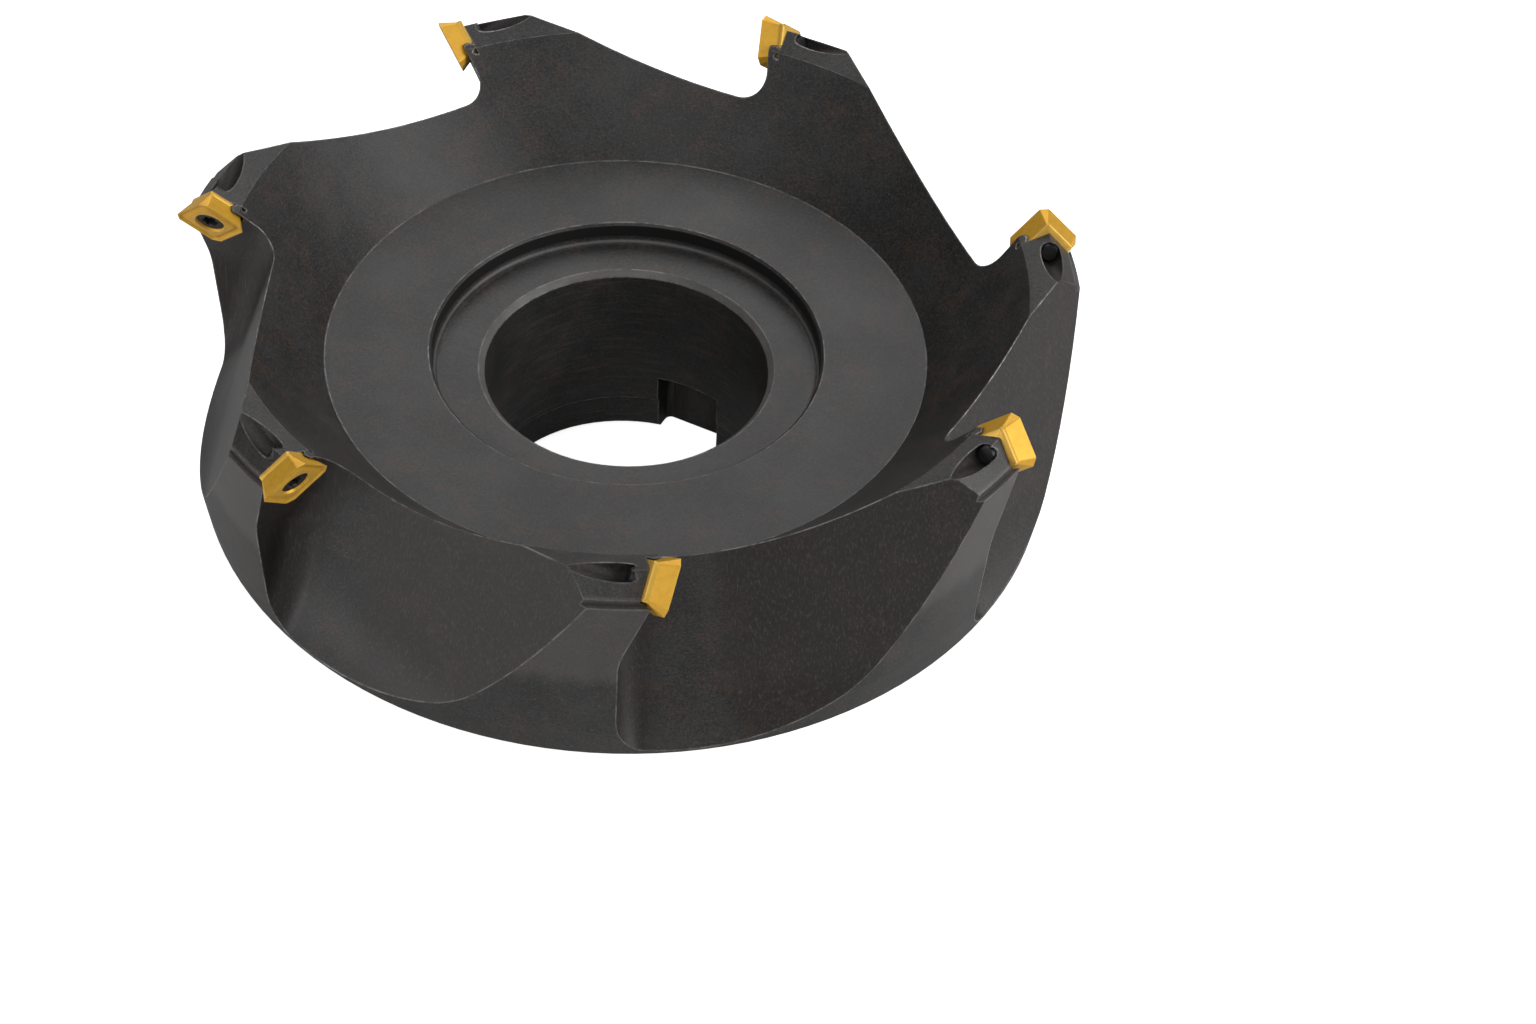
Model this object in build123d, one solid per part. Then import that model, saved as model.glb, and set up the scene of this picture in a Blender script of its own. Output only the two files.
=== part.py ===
from build123d import *
import math
import os

os.makedirs("parts", exist_ok=True)

# Right-hand shell-type face mill: one steel body, square inserts at 45 degrees, one screw an insert.
# The origin is the centre of the back face, which seats on the arbor. +Z runs along the bore to the cutting face.

# Spindle side
bore_d = 50.0
bore_relief_d = 51.0
bore_relief_depth = 7.5
bore_back_chamfer = 1.0
bore_mouth_chamfer = 1.0
back_face_d = 110.0
back_rim_height = 4.0
back_rim_chamfer = 0.8

# Drive slots across the bore wall, open at the back face
slot_width = 12.4
slot_depth = 13.0
slot_floor_reach = 28.9
slot_corner_r = 1.2
slot_angle = 65.5

# Hub on the cutting side
hub_z = 42.0
hub_d = 105.4
counterbore_d = 68.3
counterbore_depth = 4.0
counterbore_cove_r = 1.2
counterbore_rim_break = 0.5

# Turned rim that carries the teeth
dish_edge_d = 138.0
dish_edge_z = 59.8
ridge_d = 148.0
ridge_z = 61.5
facet_width = 3.4
step_drop = 1.1
step_width = 0.9
band_d = 152.4
band_z = 26.0
lower_edge_d = 150.6
lower_edge_z = 20.0

# Tooth places, in degrees counterclockwise from +X as seen from the cutting side
tooth_angles = [175.3, 230.0, 280.5, 332.5, 15.4, 74.4, 122.4]

# Insert and how it is held
overall_height = 63.0
face_cutting_d = 150.0
axial_rake = 20.5
radial_rake = -7.5
insert_side = 9.525
insert_thickness = 3.97
insert_corner_leg = 1.2
insert_clearance_angle = 25.0
insert_seat_band = 0.8
insert_seat_chamfer = 0.2
edge_land = 0.3
chip_groove_width = 1.1
chip_groove_depth = 0.3
insert_hole_d = 3.9
insert_sink_d = 5.3
insert_sink_angle = 60.0

# Pocket cut for the insert
pocket_side_gap = 0.3
pocket_relief_d = 2.0
wall_recess = 2.1

# Clamping screw
screw_d = 3.5
screw_thread_clearance = 0.02
screw_head_drop = 0.35
screw_length = 6.9
screw_tip_chamfer = 0.5
screw_recess_d = 2.2
screw_recess_lobe_d = 0.75
screw_recess_depth = 1.3
screw_exit_d = 3.7
screw_exit_start = 6.0

# Chip gullet ahead of each insert
gullet_root_x = 62.5
gullet_root_z = 52.5
gullet_lean = 18.0
gullet_turn_z = 31.0
gullet_runout_r = 30.0
gullet_runout_turn = 27.0
gullet_wall_back = 9.7
gullet_wall_blend_r = 12.0
gullet_corner_r = 5.0
tail_angle = 11.3
tail_d = 154.8

# Space that the cutting tools sweep beyond the metal
overcut = 25.0

# Values that follow from the ones above
bore_r = bore_d / 2
counterbore_r = counterbore_d / 2
counterbore_floor_z = hub_z - counterbore_depth
facet_low_r = ridge_d / 2 + facet_width
facet_low_z = ridge_z - facet_width
step_z = facet_low_z - step_drop
rim_r = facet_low_r + step_width
sink_depth = (insert_sink_d - insert_hole_d) / 2 / math.tan(math.radians(insert_sink_angle / 2))
flank_height = insert_thickness - insert_seat_band
corner_reach = (insert_side - insert_corner_leg) / math.sqrt(2)
flat_half = insert_corner_leg / math.sqrt(2)

# The rake plane, seen in a tooth's own frame: x outward, y in the direction of rotation, z to the cutting side
rake_normal = Vector(-math.tan(math.radians(radial_rake)), 1, -math.tan(math.radians(axial_rake))).normalized()
rake_outward = Vector(rake_normal.Y, -rake_normal.X, 0).normalized()
rake_forward = rake_outward.cross(rake_normal)
wiper_corner = Vector(face_cutting_d / 2, 0, overall_height)
insert_centre = wiper_corner - rake_outward * flat_half - rake_forward * corner_reach
rake_plane = Plane(origin=insert_centre, x_dir=rake_outward, z_dir=rake_normal)


def turned_blank():
    """The body as it leaves the lathe."""
    outline = Polyline(
        (bore_r, 0),
        (back_face_d / 2, 0),
        (back_face_d / 2, back_rim_height),
        (lower_edge_d / 2, lower_edge_z),
        (band_d / 2, band_z),
        (rim_r, step_z),
        (facet_low_r, step_z),
        (facet_low_r, facet_low_z),
        (ridge_d / 2, ridge_z),
        (dish_edge_d / 2, dish_edge_z),
        (hub_d / 2, hub_z),
        (counterbore_r, hub_z),
        (counterbore_r, counterbore_floor_z),
        (bore_r, counterbore_floor_z),
        close=True,
    )
    blank = revolve(Plane.XZ * make_face(outline), Axis.Z, 360)
    blank = fillet(ring_edges(blank, counterbore_r, counterbore_floor_z), counterbore_cove_r)
    blank = chamfer(ring_edges(blank, counterbore_r, hub_z), counterbore_rim_break)
    blank = chamfer(ring_edges(blank, bore_r, counterbore_floor_z), bore_mouth_chamfer)
    blank = chamfer(ring_edges(blank, back_face_d / 2, 0), back_rim_chamfer)
    relief = Cylinder(bore_relief_d / 2, bore_relief_depth, align=(Align.CENTER, Align.CENTER, Align.MIN))
    blank -= relief
    return chamfer(ring_edges(blank, bore_relief_d / 2, 0), bore_back_chamfer)


def ring_edges(solid, radius, height):
    """The circular edges of a turned solid at one radius and height."""
    rings = solid.edges().filter_by(GeomType.CIRCLE)
    return rings.filter_by(lambda ring: math.isclose(ring.radius, radius, abs_tol=0.01)).filter_by(
        lambda ring: math.isclose(ring.center().Z, height, abs_tol=0.01)
    )


def drive_slots():
    """Two opposed slots for the arbor's drive keys."""
    slot = Pos(slot_floor_reach / 2, 0, slot_depth / 2) * Box(slot_floor_reach, slot_width, slot_depth)
    slot = fillet(slot.edges().filter_by(Axis.Z).group_by(Axis.X)[-1], slot_corner_r)
    return [Rot(Z=slot_angle) * slot, Rot(Z=slot_angle + 180) * slot]


def gullet_section():
    """Section of a gullet, radially outward and up, as the cutter that mills it would leave it."""
    lean = math.radians(gullet_lean)
    top_z = overall_height + overcut
    clear_x = rim_r + overcut
    top_x = gullet_root_x - (top_z - gullet_root_z) * math.tan(lean)
    turn_x = gullet_root_x + (gullet_root_z - gullet_turn_z) * math.tan(lean)
    root = Line((top_x, top_z), (turn_x, gullet_turn_z))
    runout = JernArc((turn_x, gullet_turn_z), (math.sin(lean), -math.cos(lean)), gullet_runout_r, gullet_runout_turn)
    exit_angle = math.radians(gullet_lean + gullet_runout_turn)
    exit_start = runout @ 1
    exit_z = exit_start.Y - (clear_x - exit_start.X) / math.tan(exit_angle)
    outer = Polyline(exit_start, (clear_x, exit_z), (clear_x, top_z), (top_x, top_z))
    return make_face(root + runout + outer)


def gullet(pitch):
    """Chip space between a tooth and the next one, whose heel sets how far the root turns."""
    heel = math.radians(pitch - tail_angle)
    heel_x = tail_d / 2 * math.cos(heel)
    heel_y = tail_d / 2 * math.sin(heel)
    heel_z_shift = (facet_low_z - gullet_root_z) * math.tan(math.radians(gullet_lean))
    root_slope = (heel_x + heel_z_shift - gullet_root_x) / heel_y
    section = Pos(-gullet_wall_back * root_slope, -gullet_wall_back, 0) * (Plane.XZ * gullet_section())
    sweep_dir = Vector(root_slope, 1, 0)
    space = extrude(section, amount=rim_r * 2 * sweep_dir.length, dir=sweep_dir.normalized())
    wall_plane = rake_plane.offset(-wall_recess)
    behind = wall_plane * Box(rim_r, rim_r, rim_r, align=(Align.CENTER, Align.CENTER, Align.MAX))
    space -= behind
    space = fillet(space.edges().filter_by(is_wall_bend), gullet_wall_blend_r)
    return fillet(space.edges().filter_by(is_root_corner), gullet_corner_r)


def is_wall_bend(edge):
    """True for the edge where the sloped and the upright part of the rake wall meet."""
    ends = [edge @ 0, edge @ 1]
    upright = all(math.isclose(p.Y, -gullet_wall_back, abs_tol=0.01) for p in ends)
    level = abs(ends[0].Z - ends[1].Z) < abs(ends[0].X - ends[1].X)
    inside = all(gullet_turn_z < p.Z < overall_height for p in ends)
    return upright and level and inside


def is_root_corner(edge):
    """True for the edges where the rake wall meets the gullet's root."""
    middle = edge @ 0.5
    near_wall = middle.Y < gullet_wall_back
    tall = abs((edge @ 0).Z - (edge @ 1).Z) > 1
    inner = middle.X < rim_r
    return near_wall and tall and inner


def insert_outline():
    """The insert's cutting outline, set on its corner so that one flat sweeps the face."""
    square = Rectangle(insert_side, insert_side)
    return Rot(Z=45) * chamfer(square.vertices(), insert_corner_leg)


def seated_block(grow, height):
    """The insert's tapered form from its rake plane down to its seat, grown by a gap on every side."""
    outline = offset(insert_outline(), grow, kind=Kind.INTERSECTION) if grow else insert_outline()
    flank = extrude(outline, amount=flank_height, dir=(0, 0, -1), taper=insert_clearance_angle)
    foot = flank.faces().sort_by(Axis.Z)[0]
    block = flank + extrude(foot, amount=insert_seat_band, dir=(0, 0, -1))
    if height:
        block += extrude(outline, amount=height, dir=(0, 0, 1))
    return block


def insert():
    """One insert, with its rake face on the local XY plane."""
    body = seated_block(0, 0)
    body = chamfer(body.faces().sort_by(Axis.Z)[0].edges(), insert_seat_chamfer)
    groove_top = offset(insert_outline(), -edge_land, kind=Kind.INTERSECTION)
    groove_angle = math.degrees(math.atan2(chip_groove_width / 2, chip_groove_depth))
    groove = extrude(groove_top, amount=chip_groove_depth, dir=(0, 0, -1), taper=groove_angle)
    island_low = offset(groove_top, -chip_groove_width, kind=Kind.INTERSECTION)
    island = extrude(Pos(0, 0, -chip_groove_depth) * island_low, amount=chip_groove_depth, taper=groove_angle / 2)
    body -= groove - island
    body -= Pos(0, 0, -insert_thickness / 2) * Cylinder(insert_hole_d / 2, insert_thickness * 2)
    sink = Cone(insert_hole_d / 2, insert_sink_d / 2, sink_depth, align=(Align.CENTER, Align.CENTER, Align.MAX))
    return body - sink


def insert_pocket():
    """Seat, side walls and corner reliefs that hold the insert, and the screw's hole."""
    pocket = seated_block(pocket_side_gap, insert_thickness)
    reach = corner_reach - flank_height * math.tan(math.radians(insert_clearance_angle))
    for corner in ((-1, 0), (0, 1), (1, 0)):
        relief = Cylinder(pocket_relief_d / 2, insert_thickness * 2, align=(Align.CENTER, Align.CENTER, Align.MIN))
        pocket += Pos(corner[0] * reach, corner[1] * reach, -insert_thickness) * relief
    tapped = Cylinder(screw_d / 2 + screw_thread_clearance, screw_exit_start, align=(Align.CENTER, Align.CENTER, Align.MAX))
    exit_hole = Cylinder(screw_exit_d / 2, overcut, align=(Align.CENTER, Align.CENTER, Align.MAX))
    pocket += tapped
    pocket += Pos(0, 0, -screw_exit_start) * exit_hole
    return rake_plane * pocket


def screw():
    """Countersunk insert screw with a six-lobe socket, its head just below the rake face."""
    half = math.tan(math.radians(insert_sink_angle / 2))
    head_r = insert_sink_d / 2 - screw_head_drop * half
    head_h = (head_r - screw_d / 2) / half
    head = Cone(screw_d / 2, head_r, head_h, align=(Align.CENTER, Align.CENTER, Align.MAX))
    shank = Cylinder(screw_d / 2, screw_length, align=(Align.CENTER, Align.CENTER, Align.MAX))
    shank = chamfer(shank.edges().filter_by(GeomType.CIRCLE).sort_by(Axis.Z)[0], screw_tip_chamfer)
    solid = head + shank
    recess = Cylinder(screw_recess_d / 2, screw_recess_depth, align=(Align.CENTER, Align.CENTER, Align.MAX))
    lobe = Cylinder(screw_recess_lobe_d / 2, screw_recess_depth, align=(Align.CENTER, Align.CENTER, Align.MAX))
    for step in range(6):
        recess += Rot(Z=60 * step) * Pos(screw_recess_d / 2, 0, 0) * lobe
    return Pos(0, 0, -screw_head_drop) * (solid - recess)


def cutter_body():
    """The whole steel body with its slots, gullets and pockets."""
    body = turned_blank()
    for slot in drive_slots():
        body -= slot
    pocket = insert_pocket()
    for index, angle in enumerate(tooth_angles):
        following = tooth_angles[(index + 1) % len(tooth_angles)]
        body -= Rot(Z=angle) * gullet((following - angle) % 360)
        body -= Rot(Z=angle) * pocket
    return body


body = cutter_body()
export_step(body, "parts/cutter_body.step")

one_insert = rake_plane * insert()
for number, angle in enumerate(tooth_angles, start=1):
    export_step(Rot(Z=angle) * one_insert, f"parts/insert_{number}.step")

one_screw = rake_plane * screw()
screws = Compound(children=[Rot(Z=angle) * one_screw for angle in tooth_angles])
export_step(screws, "parts/insert_screws.step")
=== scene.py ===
import bpy
import bmesh
import math
from mathutils import Matrix, Vector


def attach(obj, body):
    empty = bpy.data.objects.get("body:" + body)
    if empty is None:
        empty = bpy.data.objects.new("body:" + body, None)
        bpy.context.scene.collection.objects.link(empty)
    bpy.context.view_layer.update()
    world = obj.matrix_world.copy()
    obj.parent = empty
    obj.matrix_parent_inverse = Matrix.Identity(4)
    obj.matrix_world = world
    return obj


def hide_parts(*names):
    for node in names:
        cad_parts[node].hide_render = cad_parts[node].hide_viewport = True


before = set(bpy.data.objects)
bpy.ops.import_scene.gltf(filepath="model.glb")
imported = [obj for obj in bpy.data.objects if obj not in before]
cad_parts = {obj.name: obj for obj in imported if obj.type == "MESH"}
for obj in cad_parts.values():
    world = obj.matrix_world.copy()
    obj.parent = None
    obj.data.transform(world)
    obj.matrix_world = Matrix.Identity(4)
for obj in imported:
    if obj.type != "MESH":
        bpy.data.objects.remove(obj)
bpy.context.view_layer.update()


# ---------------------------------------------------------------- cutter body
# One piece of hardened tool steel, turned on a lathe, then milled with seven gullets and seven
# insert pockets, and black oxided all over. The lathe's rings and the mill's upright strokes show
# through the oxide, and handling has rubbed it thin along the sharp edges.
OXIDE_BLACK = (0.0105, 0.0102, 0.0102)
OXIDE_BROWN = (0.088, 0.047, 0.030)
OXIDE_GREY = (0.052, 0.0505, 0.0495)
OXIDE_PALE = (0.17, 0.16, 0.15)
BARE_STEEL_AND_SHEEN = (0.36, 0.35, 0.34)
SHADE_BLACK = (0.0015, 0.0015, 0.0015)
CREVICE_REACH = 0.0032
EDGE_RADIUS = 0.00038
WEAR_SAMPLES = 8

# Radii from the bore's axis and heights above the back face, in millimetres, where a finish, a
# painted highlight or a painted shade starts or stops
BORE_WALL_R = 25.8
BORE_MOUTH_R = 26.0
BORE_MOUTH_Z = 36.95
COVE_R = 33.5
COVE_WIDTH = 0.45
COVE_LOW_Z = 37.9
COVE_HIGH_Z = 39.4
COUNTERBORE_R = 34.15
WALL_LOW_Z = 39.2
WALL_HIGH_Z = 41.7
PERIPHERY_R = 77.2
TEETH_R = 71.0
TEETH_Z = 50.0


class Signal:
    """A socket of a finish, wrapped so that sums and products on it read as a formula."""

    def __init__(self, finish, socket):
        self.finish = finish
        self.socket = socket

    def __add__(self, other):
        return self.finish.math("ADD", self, other)

    def __radd__(self, other):
        return self.finish.math("ADD", other, self)

    def __sub__(self, other):
        return self.finish.math("SUBTRACT", self, other)

    def __rsub__(self, other):
        return self.finish.math("SUBTRACT", other, self)

    def __mul__(self, other):
        return self.finish.math("MULTIPLY", self, other)

    def __rmul__(self, other):
        return self.finish.math("MULTIPLY", other, self)

    def __pow__(self, other):
        return self.finish.math("POWER", self, other)

    def __abs__(self):
        return self.finish.math("ABSOLUTE", self, 0.0)


class Finish:
    """The node tree of one material."""

    def __init__(self, name):
        self.material = bpy.data.materials.new(name)
        self.material.use_nodes = True
        self.tree = self.material.node_tree
        self.tree.nodes.clear()

    def node(self, kind, settings=None, sockets=None, output=0):
        """A node of that type: its settings first, then the values or links of its sockets."""
        made = self.tree.nodes.new(kind)
        for name, value in (settings or {}).items():
            setattr(made, name, value)
        for name, value in (sockets or {}).items():
            if isinstance(value, Signal):
                self.tree.links.new(value.socket, made.inputs[name])
            else:
                made.inputs[name].default_value = value
        return Signal(self, made.outputs[output]) if made.outputs else None

    def math(self, operation, first, second):
        return self.node("ShaderNodeMath", {"operation": operation}, {0: first, 1: second})

    def larger(self, first, second):
        return self.math("MAXIMUM", first, second)

    def place(self):
        """Where a point is in the frame, in millimetres, as x, y and z."""
        point = self.node("ShaderNodeTexCoord", output="Object")
        parts = self.node("ShaderNodeSeparateXYZ", sockets={0: point})
        return [Signal(self, parts.socket.node.outputs[axis]) * 1000.0 for axis in range(3)]

    def vector(self, x, y, z):
        return self.node("ShaderNodeCombineXYZ", sockets={0: x, 1: y, 2: z})

    def dot(self, first, second):
        settings = {"operation": "DOT_PRODUCT"}
        return self.node("ShaderNodeVectorMath", settings, {0: first, 1: second}, "Value")

    def noise(self, where, scale, detail, roughness):
        return self.node("ShaderNodeTexNoise", sockets={
            "Vector": where, "Scale": scale, "Detail": detail, "Roughness": roughness})

    def ramp(self, value, low, high):
        """0 below low and 1 above high, with a soft change between."""
        return self.node("ShaderNodeMapRange", {"interpolation_type": "SMOOTHSTEP"}, {
            "Value": value, "From Min": low, "From Max": high}, "Result")

    def within(self, value, low, high, soft=0.1):
        """1 between low and high, and 0 outside, with a soft change at either end."""
        return self.ramp(value, low, low + soft) * (1.0 - self.ramp(value, high - soft, high))

    def mix(self, amount, first, second):
        """One colour into another. A plain colour is three numbers."""
        first, second = [c if isinstance(c, Signal) else (*c, 1.0) for c in (first, second)]
        return self.node(
            "ShaderNodeMix", {"data_type": "RGBA"}, {0: amount, 6: first, 7: second}, 2)

    def rounded(self, radius, samples):
        """The surface's normal with its edges rounded off."""
        return self.node("ShaderNodeBevel", {"samples": samples}, {"Radius": radius})

    def turned_away(self, rounded):
        """How far the rounded normal leans from the real one, which is only near an edge."""
        return 1.0 - self.dot(rounded, self.node("ShaderNodeNewGeometry", output="Normal"))

    def bump(self, height, strength, distance, normal):
        return self.node("ShaderNodeBump", sockets={
            "Strength": strength, "Distance": distance, "Height": height, "Normal": normal})

    def surface(self, **sockets):
        """The metal itself, joined to the material's output."""
        names = {
            name.replace("_", " ").title().replace("Ior", "IOR"): value
            for name, value in sockets.items()}
        metal = self.node("ShaderNodeBsdfPrincipled", sockets=names)
        self.node("ShaderNodeOutputMaterial", sockets={"Surface": metal})
        return self.material


def black_oxide():
    """Tool marks first, then the oxide over them and what has worn it off, then a painted highlight
    on the cove and painted shade in the hollows.
    """
    finish = Finish("black_oxide")
    x, y, z = finish.place()
    r = (x * x + y * y) ** 0.5
    where = finish.vector(x, y, z)

    # Every turned face looks along the axis or away from it, and only milled faces look sideways
    facing = finish.node("ShaderNodeTexCoord", output="Normal")
    sideways = finish.node(
        "ShaderNodeVectorMath", {"operation": "NORMALIZE"}, {0: finish.vector(0.0 - y, x, 0.0)})
    turned = 1.0 - finish.ramp(abs(finish.dot(facing, sideways)), 0.04, 0.12)

    def by_cut(on_milled, on_turned):
        return on_milled + (on_turned - on_milled) * turned

    # Tool marks: rings where the lathe cut, bolder ones down the bore, and upright strokes where
    # the mill cut
    in_bore = 1.0 - finish.ramp(r, BORE_WALL_R - 0.1, BORE_WALL_R + 0.1)
    rings = finish.noise(finish.vector(r, z, 0.0), scale=3.2, detail=3.0, roughness=0.65)
    bore_rings = finish.noise(
        finish.vector(x * 0.06, y * 0.06, z), scale=2.2, detail=4.0, roughness=0.7)
    strokes = finish.noise(
        finish.vector(x * 4.0, y * 4.0, z * 0.10), scale=0.9, detail=3.0, roughness=0.6)
    marks = turned * rings + (1.0 - turned) * strokes
    grain = finish.noise(where, scale=5.5, detail=3.0, roughness=0.6)

    # The oxide: clouds of lighter grey, rusty brown where it was handled, fine flecks and pale
    # specks. It is darker on the milled faces of the gullets, partly their own finish and partly
    # painted shade, and thinner on the outside, where chips rub it.
    clouds = finish.noise(where, scale=0.05, detail=5.0, roughness=0.66)
    patches = finish.noise(where, scale=0.14, detail=5.0, roughness=0.7)
    flecks = finish.noise(finish.vector(x, y, z * 1.6), scale=1.9, detail=5.0, roughness=0.8)
    specks = finish.noise(where, scale=3.4, detail=3.0, roughness=0.75)
    mottle = finish.ramp(clouds * 0.35 + flecks * 0.65, 0.40, 0.60)
    rust = finish.ramp(patches * 0.5 + flecks * 0.5, 0.50, 0.63)
    outside = turned * finish.ramp(r, PERIPHERY_R - 0.3, PERIPHERY_R)
    colour = OXIDE_BLACK
    for amount, tint in (
        # Less grey on the milled faces: their own finish, and in the gullets a painted shade
        (mottle * by_cut(0.20, 0.85), OXIDE_GREY),
        (by_cut(0.06, 0.0) + rust * by_cut(0.20, 0.50), OXIDE_BROWN),
        (finish.ramp(specks, 0.57, 0.70) * by_cut(0.04, 0.50), OXIDE_PALE),
        (finish.ramp(marks, 0.50, 0.78) * 0.22, OXIDE_GREY),
        (finish.ramp(strokes, 0.50, 0.72) * by_cut(0.20, 0.0), OXIDE_PALE),
        (finish.ramp(bore_rings, 0.50, 0.66) * in_bore * 0.22, OXIDE_PALE),
        (outside * 0.28, OXIDE_PALE),
    ):
        colour = finish.mix(amount, colour, tint)

    # Rubbed edges, fainter round the small openings in the teeth
    rounded = finish.rounded(EDGE_RADIUS, WEAR_SAMPLES)
    open_sky = finish.node(
        "ShaderNodeAmbientOcclusion", {"samples": WEAR_SAMPLES, "only_local": True},
        {"Distance": CREVICE_REACH}, "AO")
    wear = finish.noise(where, scale=0.30, detail=5.0, roughness=0.75)
    rub = finish.ramp(finish.turned_away(rounded), 0.002, 0.03)
    rub = rub * (0.30 + 0.70 * finish.ramp(wear, 0.44, 0.58)) * finish.ramp(open_sky, 0.72, 0.90)
    teeth = finish.ramp(r, TEETH_R, TEETH_R + 2.0) * finish.ramp(z, TEETH_Z, TEETH_Z + 3.0)
    rub = rub * (1.0 - 0.45 * teeth)

    # Polished by the arbor's screw: the break at the bore's mouth. The pale ring on the
    # counterbore's cove is a painted highlight, where its fillet catches the light.
    mouth = 1.0 - finish.ramp(r, BORE_MOUTH_R, BORE_MOUTH_R + 0.15)
    mouth = mouth * finish.ramp(z, BORE_MOUTH_Z, BORE_MOUTH_Z + 0.1)
    cove = finish.within(r, COVE_R, COVE_R + COVE_WIDTH)
    cove = cove * finish.within(z, COVE_LOW_Z, COVE_HIGH_Z)
    # Real wear on edges and at the bore's mouth, and the cove's painted highlight, all as bare
    # steel
    wear_and_sheen = finish.larger(rub * 0.85, mouth * (0.16 + 0.30 * wear))
    wear_and_sheen = finish.larger(wear_and_sheen, cove * 0.22)
    colour = finish.mix(wear_and_sheen, colour, BARE_STEEL_AND_SHEEN)

    # Painted shade: black in the gaps round the inserts, in the screw holes and other tight hollows
    # and corners, and on the counterbore's wall
    wall = finish.within(r, COUNTERBORE_R - 0.1, COUNTERBORE_R + 0.1, soft=0.07)
    wall = wall * finish.within(z, WALL_LOW_Z, WALL_HIGH_Z)
    crevice = 1.0 - finish.ramp(open_sky, 0.36, 0.66)
    painted_shade = finish.larger(crevice * 0.95, wall * 0.9)
    # The painted shade goes over the oxide's colour here
    colour = finish.mix(painted_shade, colour, SHADE_BLACK)

    return finish.surface(
        base_color=colour,
        metallic=0.6 * rub,
        roughness=0.27 + 0.16 * grain + 0.26 * flecks - 0.10 * rub + 0.35 * painted_shade,
        specular_ior_level=0.5,
        normal=finish.bump(marks * 0.6 + grain * 0.4, 0.35, 0.00006, rounded))


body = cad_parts["cutter_body"]
body.data.materials.clear()
body.data.materials.append(black_oxide())


# -------------------------------------------------------------------- inserts
# Seven square inserts of sintered carbide, pressed with a chip groove, ground on the flanks and on
# the seat, and coated gold with titanium nitride. Each stands on its corner at 45 degrees in its
# pocket, so that a short flat at the lowest corner sweeps the face.
TOOTH_ANGLES = [175.3, 230.0, 280.5, 332.5, 15.4, 74.4, 122.4]
AXIAL_RAKE = math.radians(20.5)
RADIAL_RAKE = math.radians(-7.5)
FACE_RADIUS = 0.075
FACE_HEIGHT = 0.063
SIDE = 0.009525
CORNER_LEG = 0.0012
THICKNESS = 0.00397
SEAT_BAND = 0.0008
CLEARANCE = math.radians(25.0)
CORNER_R = 0.0003
CORNER_STEPS = 5
SIDE_STEPS = 6
HOLE_R = 0.00195
SINK_R = 0.00265
SEAT_LIP = 0.00005
SEAT_ROUNDING = 0.00024
INSERT_CREASE = math.radians(38)
NITRIDE_GOLD = (0.90, 0.50, 0.050)
NITRIDE_PALE = (0.97, 0.68, 0.20)
NITRIDE_DEEP = (0.70, 0.34, 0.028)

# Rings of the hole, from the seat up over the countersink: radius and height
HOLE_RINGS = (
    (HOLE_R, -THICKNESS + 0.00015),
    (HOLE_R, -0.00135),
    (HOLE_R + 0.00006, -0.00118),
    (SINK_R - 0.00008, -0.00012),
    (SINK_R + 0.00002, -0.00001),
    (SINK_R + 0.00018, 0.0),
    (SINK_R + 0.00040, -0.00002),
)

# Rings of the chip groove, from the island out to the cutting edge: inset and depth
GROOVE_RINGS = (
    (0.00160, 0.00003),
    (0.00148, 0.00006),
    (0.00128, 0.00016),
    (0.00108, 0.00026),
    (0.00086, 0.00030),
    (0.00064, 0.00026),
    (0.00044, 0.00014),
    (0.00030, 0.00004),
    (0.00025, 0.00001),
    (0.00005, 0.0),
    (0.00001, 0.00002),
)
FLANK_SHARES = (0.1, 0.35, 0.6, 0.8, 0.93)


def tooth_frame(angle):
    """Places an insert's own frame at one tooth: its rake face on XY and its outward way on X."""
    normal = Vector((-math.tan(RADIAL_RAKE), 1, -math.tan(AXIAL_RAKE))).normalized()
    outward = Vector((normal.y, -normal.x, 0)).normalized()
    forward = outward.cross(normal)
    flat_half = CORNER_LEG / math.sqrt(2)
    reach = (SIDE - CORNER_LEG) / math.sqrt(2)
    centre = Vector((FACE_RADIUS, 0, FACE_HEIGHT)) - outward * flat_half - forward * reach
    seat = Matrix((outward, normal.cross(outward), normal)).transposed().to_4x4()
    seat.translation = centre
    return Matrix.Rotation(math.radians(angle), 4, "Z") @ seat


def insert_ring(inset, corner_r=CORNER_R):
    """Points round the insert's outline, drawn in by inset, with its eight corners rounded."""
    side_at = SIDE / 2 - inset - corner_r
    flat_at = SIDE / math.sqrt(2) - CORNER_LEG / math.sqrt(2) - inset - corner_r
    points = []
    for corner in range(8):
        first = math.radians(45 * corner)
        second = math.radians(45 * (corner + 1))
        near, far = (flat_at, side_at) if corner % 2 == 0 else (side_at, flat_at)
        # Where the two shifted sides cross, the middle of the corner's round
        tip = Vector((
            (near * math.sin(second) - far * math.sin(first)) / math.sin(second - first),
            (far * math.cos(first) - near * math.cos(second)) / math.sin(second - first)))
        for step in range(CORNER_STEPS):
            turn = first + (second - first) * step / (CORNER_STEPS - 1)
            points.append(tip + corner_r * Vector((math.cos(turn), math.sin(turn))))
    ring = []
    for index, point in enumerate(points):
        after = points[(index + 1) % len(points)]
        ring.append(point)
        if index % CORNER_STEPS == CORNER_STEPS - 1:
            ring.extend(point.lerp(after, step / SIDE_STEPS) for step in range(1, SIDE_STEPS))
    return ring


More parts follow.
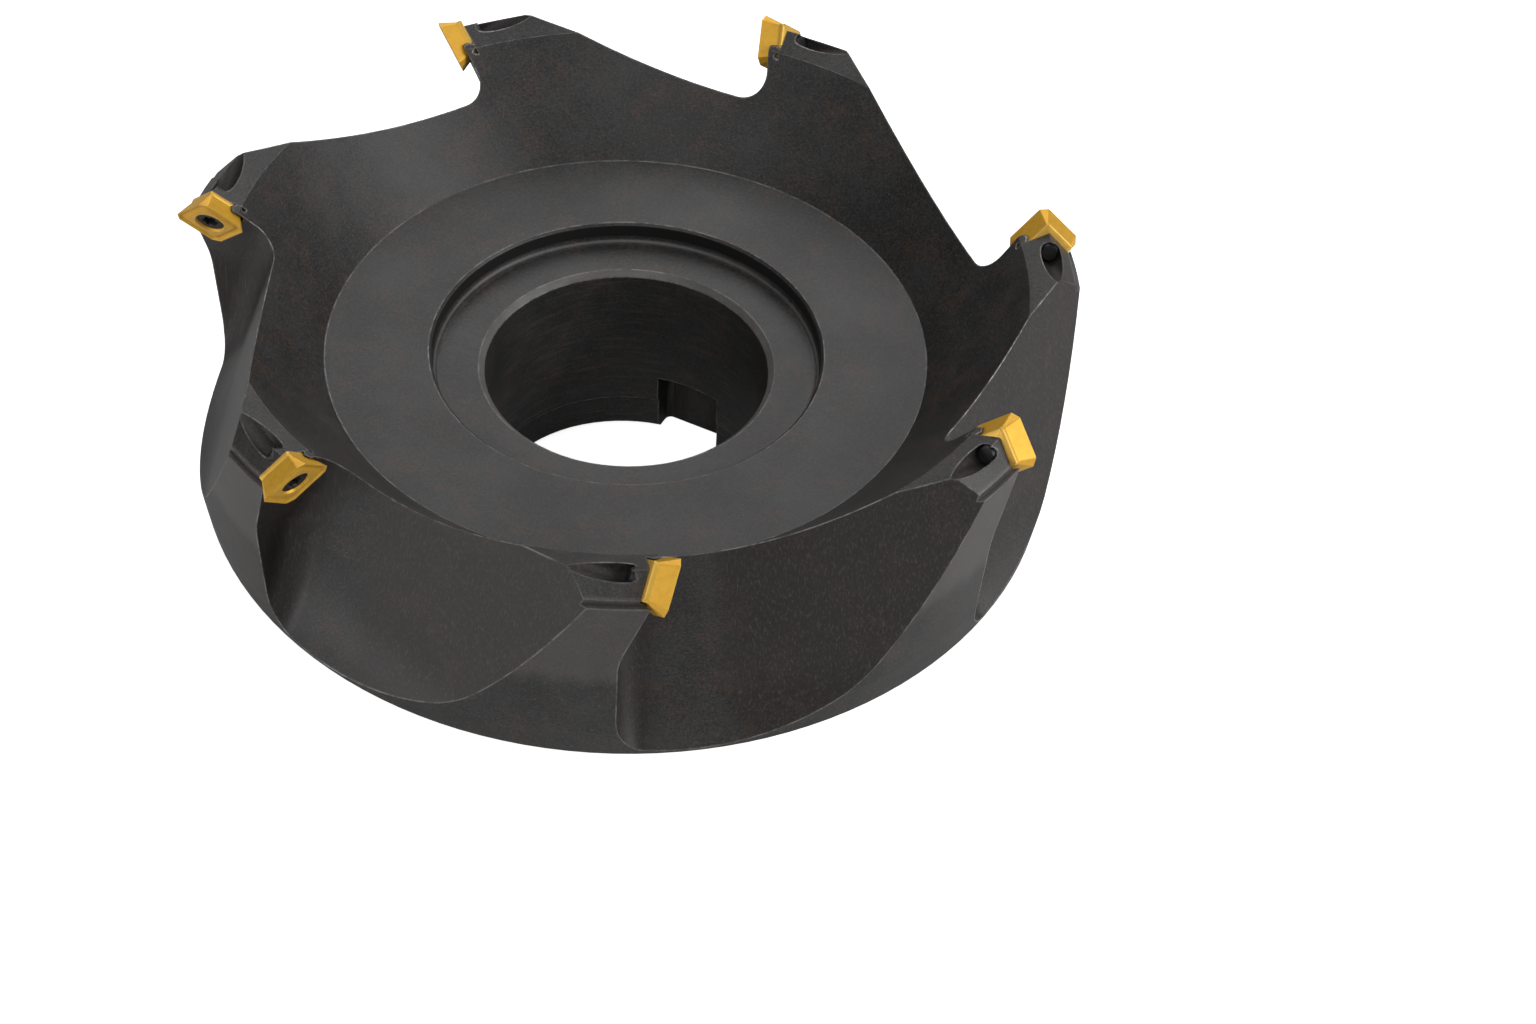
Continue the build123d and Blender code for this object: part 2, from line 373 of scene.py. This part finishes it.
def skin(name, rings, crease, closed_ends=False):
    """A smooth mesh over rings, each given as flat points and a height, sharp where it creases."""
    points, faces = [], []
    count = len(rings[0][0])
    for flat, height in rings:
        points.extend((p.x, p.y, height) for p in flat)
    for level in range(len(rings) - 1):
        low, high = level * count, (level + 1) * count
        for index in range(count):
            after = (index + 1) % count
            faces.append((low + index, low + after, high + after, high + index))
    if closed_ends:
        faces.append(tuple(reversed(range(count))))
        faces.append(tuple(range((len(rings) - 1) * count, len(rings) * count)))
    mesh = bpy.data.meshes.new(name)
    mesh.from_pydata(points, [], faces)
    mesh.update()
    for face in mesh.polygons:
        face.use_smooth = True
    mesh.set_sharp_from_angle(angle=crease)
    return mesh


def mark(mesh, name, measure):
    """Keeps a number at every point of a mesh, for its finish to read."""
    kept = mesh.attributes.new(name, "FLOAT", "POINT")
    for index, vertex in enumerate(mesh.vertices):
        kept.data[index].value = measure(vertex.co.z)


def insert_mesh():
    """Up the hole, out over the chip groove, down the flanks and back in under the seat."""
    outline = insert_ring(0)

    def round_ring(radius):
        return [point.normalized() * radius for point in outline]

    slope = math.tan(CLEARANCE)
    flank = THICKNESS - SEAT_BAND
    foot = flank * slope
    foot_r = CORNER_R + SEAT_ROUNDING
    rings = [(round_ring(radius), height) for radius, height in HOLE_RINGS]
    rings += [(insert_ring(inset), -depth) for inset, depth in GROOVE_RINGS]
    rings.append((insert_ring(0.00006 * slope), -0.00008))
    for share in FLANK_SHARES:
        rings.append((insert_ring(share * foot, CORNER_R + share * SEAT_ROUNDING), -share * flank))
    for inset, height in (
        (0.97 * foot, -flank + 0.00005),
        (foot - SEAT_LIP, -flank - 0.00006),
        (foot - SEAT_LIP, -THICKNESS + 0.0002),
        (foot - SEAT_LIP + 0.00006, -THICKNESS + 0.00008),
        (foot + 0.00015, -THICKNESS),
    ):
        rings.append((insert_ring(inset, foot_r), height))
    rings.append((round_ring(HOLE_R + 0.00015), -THICKNESS))
    rings.append((round_ring(HOLE_R), -THICKNESS + 0.00015))
    mesh = skin("insert", rings, INSERT_CREASE)
    mark(mesh, "below_rake", lambda height: -height * 1000)
    return mesh


def gold_nitride():
    """Gold, deeper in clouds, and paler along the cutting edge and on the ground seat band."""
    finish = Finish("gold_nitride")
    where = finish.vector(*finish.place())
    below = finish.node("ShaderNodeAttribute", {"attribute_name": "below_rake"}, output="Fac")
    grain = finish.noise(where, scale=14.0, detail=3.0, roughness=0.7)
    clouds = finish.noise(where, scale=0.9, detail=3.0, roughness=0.6)
    seat = finish.ramp(below, 3.05, 3.2)
    rim = 1.0 - finish.ramp(below, 0.02, 0.10)
    colour = finish.mix(finish.ramp(clouds, 0.40, 0.75) * 0.4, NITRIDE_GOLD, NITRIDE_DEEP)
    colour = finish.mix(seat * 0.30 + rim * 0.25, colour, NITRIDE_PALE)
    return finish.surface(
        base_color=colour,
        metallic=0.42,
        roughness=0.44 + 0.10 * grain - 0.08 * seat,
        normal=finish.bump(grain, 0.30, 0.00002, finish.rounded(0.00006, 4)))


carbide = insert_mesh()
carbide.materials.append(gold_nitride())
for number, angle in enumerate(TOOTH_ANGLES, start=1):
    mesh = carbide.copy()
    mesh.transform(tooth_frame(angle))
    piece = bpy.data.objects.new(f"gold_insert_{number}", mesh)
    bpy.context.scene.collection.objects.link(piece)
    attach(piece, "root")
    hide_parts(f"insert_{number}")


# -------------------------------------------------------------- insert screws
# Seven small countersunk screws of alloy steel, blackened, each with a six-lobe socket and a rolled
# thread. The cone of the head draws the insert down into its pocket, and the tip shows from behind,
# in the hole's far end.
HEAD_DROP = 0.00035
HEAD_R = 0.002448
SHANK_R = 0.00175
THREAD_R = SHANK_R - 0.00004
THREAD_CUT = 0.00032
PITCH = 0.0006
ROWS_PER_PITCH = 8
SCREW_LENGTH = 0.0061
TIP_CHAMFER = 0.0005
SOCKET_R = 0.00147
SOCKET_WAIST = 0.00108
SOCKET_DEPTH = 0.0013
SCREW_CREASE = math.radians(40)
SCREW_BLACK = (0.010, 0.010, 0.011)
SCREW_WORN = (0.30, 0.29, 0.28)
AROUND = 48
TURNS = [2 * math.pi * index / AROUND for index in range(AROUND)]

# Rings of the socket, from its floor up to the head: how far each is drawn in, and its height
SOCKET_RINGS = (
    (0.00012, -SOCKET_DEPTH),
    (0.00006, -SOCKET_DEPTH + 0.0001),
    (0.00004, -0.00025),
    (0.0, -0.00012),
    (-0.00012, 0.0),
)

# Rings of the head, from the socket out and over its rim: radius and height
HEAD_RINGS = (
    (0.00182, 0.0),
    (HEAD_R - 0.00016, -0.00001),
    (HEAD_R - 0.00004, -0.00006),
    (HEAD_R - 0.00008, -0.00018),
)


def turned_ring(radius_at):
    """Points round a screw's axis, with a radius for each turn."""
    return [Vector((math.cos(turn), math.sin(turn))) * radius_at(turn) for turn in TURNS]


def plain_ring(radius):
    return turned_ring(lambda turn: radius)


def lobed_ring(shrink):
    """The six-lobe outline of the socket."""
    def radius_at(turn):
        wave = 0.5 + 0.5 * math.cos(6 * turn)
        return SOCKET_WAIST + (SOCKET_R - SOCKET_WAIST) * wave ** 0.8 - shrink
    return turned_ring(radius_at)


def thread_ring(depth, fullness):
    """One ring of the thread, whose groove climbs once round the screw in each pitch."""
    def radius_at(turn):
        phase = (depth / PITCH - turn / (2 * math.pi)) % 1.0
        crest = abs(2 * phase - 1)
        cut = min(1.0, max(0.0, 1.25 * (1 - crest) - 0.1)) * fullness
        return THREAD_R - THREAD_CUT * cut
    return turned_ring(radius_at)


def screw_mesh():
    """From the middle of the socket out over the head, down the cone and the thread to the tip."""
    rings = [(plain_ring(0.0002), -SOCKET_DEPTH - 0.0002)]
    rings += [(lobed_ring(shrink), height) for shrink, height in SOCKET_RINGS]
    rings += [(plain_ring(radius), height) for radius, height in HEAD_RINGS]
    cone = (HEAD_R - SHANK_R) / math.tan(math.radians(30))
    rings.append((plain_ring(SHANK_R + 0.00003), -cone + 0.00005))
    start = cone + 0.0004
    end = SCREW_LENGTH - TIP_CHAMFER
    rings.append((plain_ring(THREAD_R), -start))
    rows = int((end - start) / PITCH * ROWS_PER_PITCH)
    for row in range(rows + 1):
        depth = start + (end - start) * row / rows
        fullness = min(1.0, (depth - start) / PITCH, (end - depth) / PITCH + 0.35)
        rings.append((thread_ring(depth, fullness), -depth))
    rings.append((plain_ring(0.00135), -SCREW_LENGTH))
    rings.append((plain_ring(0.0004), -SCREW_LENGTH))
    dropped = [(ring, height - HEAD_DROP) for ring, height in rings]
    mesh = skin("screw", dropped, SCREW_CREASE, closed_ends=True)
    mark(mesh, "on_head", lambda height: 1.0 if height > -HEAD_DROP - 0.0002 else 0.0)
    return mesh


def blackened_screw():
    """Black, with the edges of the head and of its lobes rubbed bright."""
    finish = Finish("blackened_screw")
    where = finish.vector(*finish.place())
    grain = finish.noise(where, scale=9.0, detail=3.0, roughness=0.7)
    rounded = finish.rounded(0.00008, 4)
    rub = finish.ramp(finish.turned_away(rounded), 0.01, 0.15) * finish.ramp(grain, 0.25, 0.6)
    rub = rub * finish.node("ShaderNodeAttribute", {"attribute_name": "on_head"}, output="Fac")
    return finish.surface(
        base_color=finish.mix(rub * 0.7, SCREW_BLACK, SCREW_WORN),
        metallic=0.6 * rub,
        roughness=0.42 + 0.15 * grain,
        normal=finish.bump(grain, 0.25, 0.00002, rounded))


steel = screw_mesh()
group = bmesh.new()
for angle in TOOTH_ANGLES:
    mesh = steel.copy()
    mesh.transform(tooth_frame(angle))
    group.from_mesh(mesh)
bmesh.ops.recalc_face_normals(group, faces=group.faces)
mesh = bpy.data.meshes.new("screws")
group.to_mesh(mesh)
mesh.materials.append(blackened_screw())
piece = bpy.data.objects.new("black_screws", mesh)
bpy.context.scene.collection.objects.link(piece)
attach(piece, "root")
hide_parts("insert_screws")


# --------------------------------------------------------------------- studio
# A pale table, five soft lights and an even dim room round them. The picture sees a glowing sheet,
# white up to the cutter's edge and through its bore. The cutter itself is lit by a plain sheet in
# the same place, which the lamps light and the cutter shades, as on a real table.
TABLE_WHITE = (1.0, 1.0, 1.0, 1.0)
TABLE_PALE = (0.86, 0.86, 0.86, 1.0)
TABLE_SIZE = 8.0
TABLE_GLOW = 0.9
TABLE_GAP = 0.0001
ROOM_LIGHT = 0.03
LIT_POINT = Vector((0, 0, 0.03))


def table(name, glow):
    """A white sheet that the cutter stands on."""
    bpy.ops.mesh.primitive_plane_add(size=TABLE_SIZE, location=(0, 0, 0))
    sheet = bpy.context.object
    sheet.name = name
    sheet.data.materials.append(Finish(name).surface(
        base_color=TABLE_PALE, roughness=0.6, specular_ior_level=0.2,
        emission_color=TABLE_WHITE, emission_strength=glow))
    return sheet


floor = table("floor", TABLE_GLOW)
floor.visible_diffuse = False
floor.visible_glossy = False
floor.visible_shadow = False
bounce = table("bounce", 0.0)
bounce.visible_camera = False
bounce.location.z = -TABLE_GAP

world = bpy.data.worlds.new("room")
bpy.context.scene.world = world
world.use_nodes = True
backdrop = world.node_tree.nodes["Background"]
backdrop.inputs["Color"].default_value = (1.0, 1.0, 1.0, 1.0)
backdrop.inputs["Strength"].default_value = ROOM_LIGHT


def softbox(name, spot, size, power):
    """A square soft light that faces the cutter."""
    lamp = bpy.data.lights.new(name, "AREA")
    lamp.size = size
    lamp.energy = power
    box = bpy.data.objects.new(name, lamp)
    box.location = spot
    box.rotation_euler = (LIT_POINT - Vector(spot)).to_track_quat("-Z", "Y").to_euler()
    bpy.context.scene.collection.objects.link(box)


softbox("behind", spot=(0.0, 1.0, 0.9), size=0.8, power=4.9)
softbox("right", spot=(1.0, -0.2, 0.5), size=0.7, power=7.4)
softbox("low_left", spot=(-0.9, -0.6, 0.15), size=0.5, power=3.6)
softbox("front", spot=(-0.2, -0.8, 0.9), size=0.6, power=2.6)
softbox("overhead", spot=(0.0, 0.1, 1.1), size=0.9, power=2.0)

# The camera stands in front of the cutter and looks down at it at 44 degrees, as in the photograph.
# STAND is the frame's origin as the camera sees it: right, down and away.
ELEVATION = math.radians(44.256)
ROLL = 0.064021
STAND = Vector((-0.026645, 0.001176, 0.590505))
LENS_PIXELS = 3200.0
PHOTO_PIXELS = 1536
SENSOR_MM = 36.0
NEAREST = 0.01
roll = Matrix((
    (math.cos(ROLL), -math.sin(ROLL), 0),
    (math.sin(ROLL), math.cos(ROLL), 0),
    (0, 0, 1)))
tilt = Matrix((
    (1, 0, 0),
    (0, -math.sin(ELEVATION), -math.cos(ELEVATION)),
    (0, math.cos(ELEVATION), -math.sin(ELEVATION))))
look = roll @ tilt
camera_data = bpy.data.cameras.new("camera")
camera_data.sensor_width = SENSOR_MM
camera_data.lens = LENS_PIXELS / PHOTO_PIXELS * SENSOR_MM
camera_data.clip_start = NEAREST
camera = bpy.data.objects.new("camera", camera_data)
bpy.context.scene.collection.objects.link(camera)
placed = Matrix((look[0], -look[1], -look[2])).transposed().to_4x4()
placed.translation = -(look.transposed() @ STAND)
camera.matrix_world = placed
bpy.context.scene.camera = camera
bpy.context.scene.view_settings.view_transform = "Standard"
